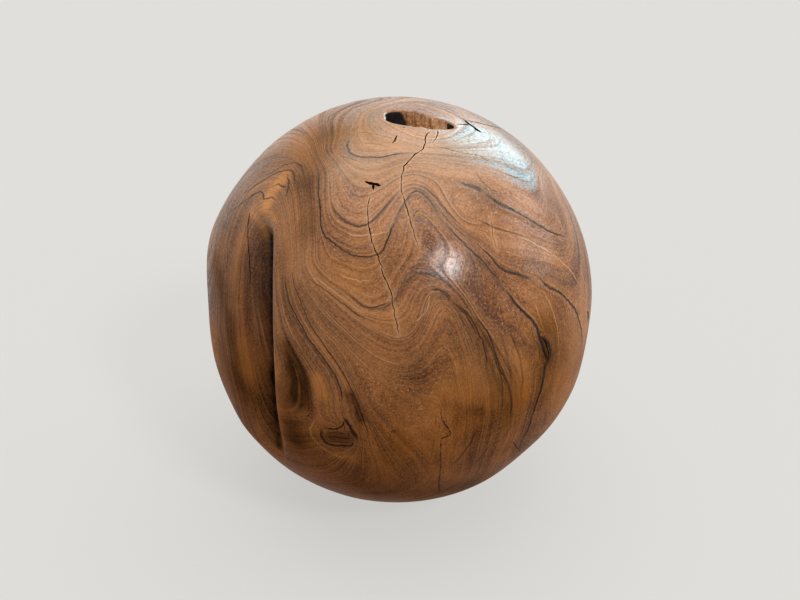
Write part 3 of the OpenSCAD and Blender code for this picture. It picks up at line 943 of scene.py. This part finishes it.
# Grain that every face of the lump shares
grain = {
    "wander": ((7.0, 0.22), (38.0, 0.12)),     # per metre, rings that a ring strays
    "lines": (2.0, 3.0, 3.4, 4.6, 5.1, 6.0, 7.5, 8.3, 9.0, 9.8, 10.5, 11.3, 12.0, 12.8, 13.8, 15.0, 16.4, 18.0),
    "lineIn": 1.1, "lineOut": 2.8,             # mm from a line to where it has faded
    "earlyFrom": -3.4, "earlyFull": -1.6, "earlyTo": -1.0,      # mm, pale wood inside a line
    "earlyShare": 0.45,
    "swelling": (30.0, 0.3, 0.7, 0.7, 1.3),    # per metre, noise from, to, narrowest, widest
    "streaks": {                               # per metre along a ring, per ring across, detail, weight
        "broad": (4.0, 1.1, 2.0, 1.0), "bands": (3.0, 5.0, 2.0, 0.9), "threads": (7.0, 14.0, 2.0, 0.4),
        "fibres": (300.0, 30.0, 2.0, 0.6)},
    "specks": {                                # per metre, detail, weight
        "blotches": (13.0, 5.0, 1.35), "grit": (420.0, 2.0, 1.0)},
    "streakRoughness": 0.55, "speckRoughness": 0.6, "dotDetail": 1.0,
    "pores": (420.0, 34.0, 0.6, 0.7, 0.3),     # per metre, per ring, noise from, to, hold
    "flecks": (380.0, 40.0, 0.61, 0.7, 0.55),
    "patches": (9.0, 3.0, 0.35, 0.6, 0.4, 1.0),      # per metre, detail, noise from, to, least and most ink
    "wobble": (190.0, 3.0, 1.5),               # per metre, detail, half widths that a drawn line strays
    "strokeCore": (0.6, 1.6),                  # half widths from a drawn line to where it has faded
}
# Fine lines between the rings: lines in a ring, half width in mm, its full part, noise per metre, its step
# from line to line, noise from, to; then shift and hold of each tone
hairs = {"count": 4.0, "half": 0.8, "full": 0.3, "along": 9.0, "step": 3.7, "from": 0.46, "to": 0.66,
         "tones": {"dark": (0.0, 0.26), "pale": (0.37, 0.3)}}


def ringNoise(tree, at, ring, along, across, detail=2.0):
    return speckle(tree, at, along, detail, grain["streakRoughness"], calc(tree, "MULTIPLY", ring, across))


def lateWood(tree, ring, at):
    # dark lines where a ring ends, and the pale early wood inside each, measured in mm
    scale, low, high, narrow, wide = grain["swelling"]
    swelling = between(tree, speckle(tree, at, scale), low, high, narrow, wide)
    pitch = calc(tree, "MULTIPLY", painted(tree, "pitch"), swelling)
    dark, pale = 0.0, 0.0
    for end in grain["lines"]:
        gap = calc(tree, "DIVIDE", calc(tree, "SUBTRACT", ring, end), pitch)
        rise = between(tree, gap, -grain["lineIn"], 0.0)
        dark = calc(tree, "MULTIPLY_ADD", rise, between(tree, gap, 0.0, grain["lineOut"], 1.0, 0.0), dark)
        swell = between(tree, gap, grain["earlyFrom"], grain["earlyFull"])
        pale = calc(tree, "MULTIPLY_ADD", swell, between(tree, gap, grain["earlyTo"], 0.0, 1.0, 0.0), pale)
    return dark, pale


def hairLines(tree, ring, at):
    # fine dark and pale lines between the rings, that come and go along their length
    found = {}
    for tone, (shift, hold) in hairs["tones"].items():
        run = calc(tree, "MULTIPLY_ADD", ring, hairs["count"], shift)
        gap = offMiddle(tree, calc(tree, "FRACT", run))
        gap = calc(tree, "DIVIDE", gap, calc(tree, "MULTIPLY", painted(tree, "pitch"), hairs["count"]))
        half = hairs["half"]
        core = between(tree, calc(tree, "ABSOLUTE", gap), half * hairs["full"], half, 1.0, 0.0)
        number = calc(tree, "MULTIPLY", calc(tree, "FLOOR", run), hairs["step"])
        drift = speckle(tree, at, hairs["along"], along=number)
        found[tone] = calc(tree, "MULTIPLY", core, between(tree, drift, hairs["from"], hairs["to"], 0.0, hold))
    return found


def drawnLines(tree, at):
    scale, detail, stray = grain["wobble"]
    wobble = offMiddle(tree, speckle(tree, at, scale, detail))
    drawn = {}
    for tone, count in strokeLayers.items():
        drawn[tone] = 0.0
        for k in range(count):
            gap = calc(tree, "MULTIPLY_ADD", wobble, stray, painted(tree, tone + "Gap" + str(k)))
            core = between(tree, calc(tree, "ABSOLUTE", gap), *grain["strokeCore"], 1.0, 0.0)
            core = calc(tree, "MULTIPLY", core, painted(tree, tone + "Ink" + str(k)))
            drawn[tone] = calc(tree, "MAXIMUM", drawn[tone], core)
    return drawn


def makeGrain():
    tree = bpy.data.node_groups.new("rootGrain", "ShaderNodeTree")
    for way, kind, names in (
            ("INPUT", "Color", ("Dark", "Light", "Line", "Fleck")), ("INPUT", "Float", ("Contrast",)),
            ("OUTPUT", "Color", ("Color",)), ("OUTPUT", "Float", ("Lines", "Pores", "Height"))):
        for name in names:
            tree.interface.new_socket(name, in_out=way, socket_type="NodeSocket" + kind)
    given, result = tree.nodes.new("NodeGroupInput").outputs, tree.nodes.new("NodeGroupOutput").inputs
    at = place(tree)
    ring = painted(tree, "ring")
    for scale, stray in grain["wander"]:
        ring = calc(tree, "MULTIPLY_ADD", offMiddle(tree, speckle(tree, at, scale)), stray, ring)
    tone = 0.0
    for along, across, detail, weight in grain["streaks"].values():
        streak = offMiddle(tree, ringNoise(tree, at, ring, along, across, detail))
        tone = calc(tree, "MULTIPLY_ADD", streak, weight, tone)
    for scale, detail, weight in grain["specks"].values():
        speck = offMiddle(tree, speckle(tree, at, scale, detail, grain["speckRoughness"]))
        tone = calc(tree, "MULTIPLY_ADD", speck, weight, tone)
    tone = calc(tree, "MULTIPLY_ADD", tone, given["Contrast"], 0.5, clamp=True)
    color = mixed(tree, tone, given["Dark"], given["Light"])
    dots = []
    for along, across, low, high, hold in (grain["pores"], grain["flecks"]):
        dot = between(tree, ringNoise(tree, at, ring, along, across, grain["dotDetail"]), low, high)
        dots.append(calc(tree, "MULTIPLY", dot, hold))
    pore, fleck = dots
    scale, detail, *limits = grain["patches"]
    patchy = between(tree, speckle(tree, at, scale, detail), *limits)
    ink = calc(tree, "MULTIPLY", painted(tree, "ink"), patchy)
    plain = inverse(tree, painted(tree, "quiet"))
    dark, early = lateWood(tree, ring, at)
    hair = hairLines(tree, ring, at)
    drawn = drawnLines(tree, at)
    line = calc(tree, "MAXIMUM", calc(tree, "MULTIPLY", dark, ink, clamp=True), hair["dark"])
    line = calc(tree, "MAXIMUM", calc(tree, "MULTIPLY", line, plain), drawn["dark"])
    pale = calc(tree, "MAXIMUM", drawn["pale"], calc(tree, "MULTIPLY", hair["pale"], plain))
    early = calc(tree, "MULTIPLY", early, ink)
    fleck = calc(tree, "MULTIPLY_ADD", early, grain["earlyShare"], fleck, clamp=True)
    for share, layer in ((fleck, "Fleck"), (pale, "Fleck"), (pore, "Line"), (line, "Line")):
        color = mixed(tree, share, color, given[layer])
    height = calc(tree, "SUBTRACT", tone, calc(tree, "ADD", pore, line))
    for name, value in (("Color", color), ("Lines", line), ("Pores", pore), ("Height", height)):
        feed(tree, result[name], value)
    return tree


def startMaterial(name, group, look):
    material = bpy.data.materials.new(name)
    material.use_nodes = True
    tree = material.node_tree
    shader = tree.nodes["Principled BSDF"]
    shared = put(tree, "Group", node_tree=group)
    for socket in ("Dark", "Light", "Line", "Fleck", "Contrast"):
        shared.inputs[socket].default_value = look[socket.lower()]
    shader.inputs["Specular IOR Level"].default_value = look["specular"]
    return material, tree, shader, shared.outputs


def bumped(tree, shader, height, look):
    bump = put(tree, "Bump")
    strength, distance = look["bump"]
    bump.inputs["Strength"].default_value = strength
    bump.inputs["Distance"].default_value = distance * mm
    feed(tree, bump.inputs["Height"], height)
    feed(tree, shader.inputs["Normal"], bump.outputs[0])


# Sanded and waxed skin
waxed = {
    "dark": screen(90, 50, 24), "light": screen(194, 131, 80), "line": screen(42, 23, 11),
    "fleck": screen(222, 170, 120), "worn": screen(222, 172, 128), "contrast": 1.25,
    # the pale colour paints the sheen over the crown
    "gold": screen(222, 150, 80), "pale": screen(206, 168, 132),
    # the stain colour also darkens painted shade in the fold and low down; the black colour is painted shadow
    "stainAndShade": (0.16, 0.14, 0.09, 1.0), "umber": (0.58, 0.46, 0.08, 1.0), "shadowBlack": (0.05, 0.04, 0.03, 1.0),
    "marks": {"pale": "MIX", "gold": "MIX", "umber": "MULTIPLY", "stainAndShade": "MULTIPLY", "shadowBlack": "MULTIPLY"},
    "hold": 0.95, "ragged": 1.6, "wear": 0.4,
    "linesOver": 0.75,                          # the lines stay over the marks
    "clouds": (16.0, 4.0, 0.6), "streaks": (14.0, 3.0, 3.0),
    "roughness": 0.45, "poreRough": 0.2, "cloudRough": 0.1, "mattRough": 0.45,
    "specular": 0.07, "coatRoughness": 0.24,
    "grit": (300.0, 2.0, 0.6), "gritRange": (0.35, 0.6, 0.45, 1.15),          # wax lies thin on open grain
    "rubbed": (8.0, 9.0, 2.0), "rubbedRange": (0.36, 0.62, 0.45, 1.25),       # rings stand proud under the wax
    "bump": (0.25, 0.4),                        # strength, mm
}


def waxedSkin(group):
    material, tree, shader, shared = startMaterial("waxedRoot", group, waxed)
    at, ring = place(tree), painted(tree, "ring")
    color = shared["Color"]
    clouds = speckle(tree, at, *waxed["clouds"])
    ragged = calc(tree, "ADD", clouds, ringNoise(tree, at, ring, *waxed["streaks"]))
    ragged = calc(tree, "SUBTRACT", ragged, 1.0)
    for mark, mode in waxed["marks"].items():
        share = painted(tree, mark)
        spread = calc(tree, "MULTIPLY_ADD", calc(tree, "MULTIPLY", ragged, share), waxed["ragged"], share)
        spread = calc(tree, "MULTIPLY", spread, waxed["hold"], clamp=True)
        color = mixed(tree, spread, color, waxed[mark], mode)
    color = mixed(tree, calc(tree, "MULTIPLY", painted(tree, "wear"), waxed["wear"]), color, waxed["worn"])
    over = calc(tree, "MULTIPLY", shared["Lines"], waxed["linesOver"])
    feed(tree, shader.inputs["Base Color"], mixed(tree, over, color, waxed["line"]))
    # the stains and the painted shade are matt and take no coat
    matt = calc(tree, "MAXIMUM", painted(tree, "stainAndShade"), painted(tree, "shadowBlack"))
    dull = waxed["roughness"]
    for value, share in ((shared["Pores"], "poreRough"), (clouds, "cloudRough"), (matt, "mattRough")):
        dull = calc(tree, "MULTIPLY_ADD", value, waxed[share], dull, clamp=value is matt)
    feed(tree, shader.inputs["Roughness"], dull)
    grit = between(tree, speckle(tree, at, *waxed["grit"]), *waxed["gritRange"])
    rubbed = between(tree, ringNoise(tree, at, ring, *waxed["rubbed"]), *waxed["rubbedRange"])
    gloss = calc(tree, "MULTIPLY", painted(tree, "polish"), grit)
    gloss = calc(tree, "MULTIPLY", gloss, inverse(tree, matt))
    gloss = calc(tree, "MULTIPLY", gloss, rubbed)
    gloss = calc(tree, "MULTIPLY", gloss, inverse(tree, shared["Pores"]), clamp=True)
    feed(tree, shader.inputs["Coat Weight"], gloss)
    shader.inputs["Coat Roughness"].default_value = waxed["coatRoughness"]
    bumped(tree, shader, shared["Height"], waxed)
    return material


# Bare fibres of the rotted heart, with painted shade black deep in the hollow
heart = {
    "dark": screen(186, 122, 76), "light": screen(255, 214, 166), "line": screen(70, 40, 24),
    "fleck": screen(255, 214, 166), "contrast": 1.5, "deep": screen(92, 54, 32), "shadowBlack": screen(46, 40, 38),
    "upright": (1.0, 1.0, 0.2), "strands": (260.0, 5.0, 0.7), "strandRange": (0.3, 0.5),
    "shadeShareRange": (0.25, 0.75), "roughness": 0.9, "specular": 0.2, "bump": (0.8, 1.5),
}


def bareHeart(group):
    material, tree, shader, shared = startMaterial("rottedHeart", group, heart)
    upright = put(tree, "Mapping")
    upright.inputs["Scale"].default_value = heart["upright"]
    feed(tree, upright.inputs["Vector"], place(tree))
    strands = speckle(tree, upright.outputs[0], *heart["strands"])
    color = mixed(tree, between(tree, strands, *heart["strandRange"]), heart["deep"], shared["Color"])
    # painted shade: the fibres go black at the hollow's left and at its right end
    shadeShare = calc(tree, "ADD", painted(tree, "hollowShade"), offMiddle(tree, strands))
    color = mixed(tree, between(tree, shadeShare, *heart["shadeShareRange"]), color, heart["shadowBlack"])
    feed(tree, shader.inputs["Base Color"], color)
    shader.inputs["Roughness"].default_value = heart["roughness"]
    bumped(tree, shader, strands, heart)
    return material


# Walls of the checks, painted shade: dark inside the cracks, with darker specks
shadedCheckWall = {
    "dark": screen(24, 14, 9), "light": screen(70, 42, 25), "line": screen(16, 10, 7),
    "fleck": screen(70, 42, 25), "contrast": 1.2, "shadeSpecks": (180.0, 3.0), "shadeSpecksRange": (0.55, 0.75),
    "roughness": 0.85, "specular": 0.1, "bump": (0.5, 0.6),
}


def shadedCheckWalls(group):
    material, tree, shader, shared = startMaterial("shadedCheckWalls", group, shadedCheckWall)
    # painted shade: specks that darken the check walls further
    shadeSpecks = speckle(tree, place(tree), *shadedCheckWall["shadeSpecks"])
    color = mixed(tree, between(tree, shadeSpecks, *shadedCheckWall["shadeSpecksRange"]), shared["Color"], shadedCheckWall["dark"])
    feed(tree, shader.inputs["Base Color"], color)
    shader.inputs["Roughness"].default_value = shadedCheckWall["roughness"]
    bumped(tree, shader, shadeSpecks, shadedCheckWall)
    return material


# Floor and light
room = {
    "tint": screen(225, 224, 220),      # the photograph's plain ground
    "lit": screen(202, 199, 195),       # the same ground before the lamps add to it
    "floorSize": 40.0, "floorDrop": 0.0004,
    "plain": 0.72,                      # share of the ground that the lamps don't change
    "floorBounce": screen(120, 89, 56),
    "sky": 0.36, "skyColour": (1.0, 0.99, 0.97, 1.0),
    "lampDistance": 3.0,
    "glints": ("backWindow",),          # lamps that only the wax shows
    "lamps": {                          # elevation, azimuth from the right, width in degrees, strength, colour
        "overhead": (80, 80, 75, 1.74, (1.0, 0.98, 0.96)),
        "backWindow": (26, 57, 36, 2.1, (0.27, 0.78, 1.0)),
        "backFill": (25, 75, 60, 0.5, (1.0, 0.99, 0.97)),
        "sideWindow": (20, 15, 34, 0.6, (0.9, 0.95, 1.0)),
        "frontLamp": (42, -51, 12, 1.15, (0.93, 0.96, 1.0)),
    },
}


def cameraOrGloss(tree):
    path = put(tree, "LightPath")
    seen = calc(tree, "MAXIMUM", path.outputs["Is Camera Ray"], path.outputs["Is Glossy Ray"])
    return calc(tree, "MAXIMUM", seen, path.outputs["Is Transmission Ray"])


def blended(tree, share, first, second):
    node = put(tree, "MixShader")
    for socket, value in zip(node.inputs, (share, first.outputs[0], second.outputs[0])):
        feed(tree, socket, value)
    return node


def makeFloor():
    size = room["floorSize"] / 2 / mm
    corners = [(-size, -size, 0), (size, -size, 0), (size, size, 0), (-size, size, 0)]
    floor = meshObject("paleFloor", corners, [[0, 1, 2, 3]])
    floor.location.z = -room["floorDrop"]
    material = bpy.data.materials.new("paleGround")
    material.use_nodes = True
    tree = material.node_tree
    tree.nodes.remove(tree.nodes["Principled BSDF"])
    layers = {"lit": "BsdfDiffuse", "floorBounce": "BsdfDiffuse", "tint": "Emission"}
    for colour, kind in layers.items():
        layers[colour] = put(tree, kind)
        layers[colour].inputs["Color"].default_value = room[colour]
    ground = blended(tree, room["plain"], layers["lit"], layers["tint"])
    floorMix = blended(tree, cameraOrGloss(tree), layers["floorBounce"], ground)
    feed(tree, tree.nodes["Material Output"].inputs["Surface"], floorMix.outputs[0])
    floor.data.materials.append(material)


def makeLight():
    world = bpy.data.worlds.new("paleRoom")
    world.use_nodes = True
    tree = world.node_tree
    sky = tree.nodes["Background"]
    sky.inputs["Color"].default_value = room["skyColour"]
    sky.inputs["Strength"].default_value = room["sky"]
    ground = put(tree, "Background")
    ground.inputs["Color"].default_value = room["tint"]
    skyMix = blended(tree, cameraOrGloss(tree), sky, ground)
    feed(tree, tree.nodes["World Output"].inputs["Surface"], skyMix.outputs[0])
    bpy.context.scene.world = world
    for name, (elevation, azimuth, width, strength, colour) in room["lamps"].items():
        data = bpy.data.lights.new(name, "SUN")
        data.energy = strength
        data.angle = math.radians(width)
        data.color = colour
        lamp = bpy.data.objects.new(name, data)
        el, az = math.radians(elevation), math.radians(azimuth)
        toLamp = Vector((math.cos(el) * math.cos(az), math.cos(el) * math.sin(az), math.sin(el)))
        lamp.rotation_euler = toLamp.to_track_quat("Z", "Y").to_euler()
        lamp.location = toLamp * room["lampDistance"]
        lamp.visible_diffuse = name not in room["glints"]
        bpy.context.scene.collection.objects.link(lamp)


# The ball
bpy.context.scene.view_settings.view_transform = "Standard"
placeCamera()
ball = makeLump()
print("lump:", len(ball.data.polygons), "faces")
cutChecks(ball)
print("checks cut:", len(checks), "and the lump has", len(ball.data.polygons), "faces")
paint(ball.data)
rootGrain = makeGrain()
for finish in (waxedSkin(rootGrain), bareHeart(rootGrain), shadedCheckWalls(rootGrain)):
    ball.data.materials.append(finish)
sortFaces(ball.data)
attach(ball, "root")
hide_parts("ball")
makeFloor()
makeLight()
print("room: floor and", len(room["lamps"]), "lamps")
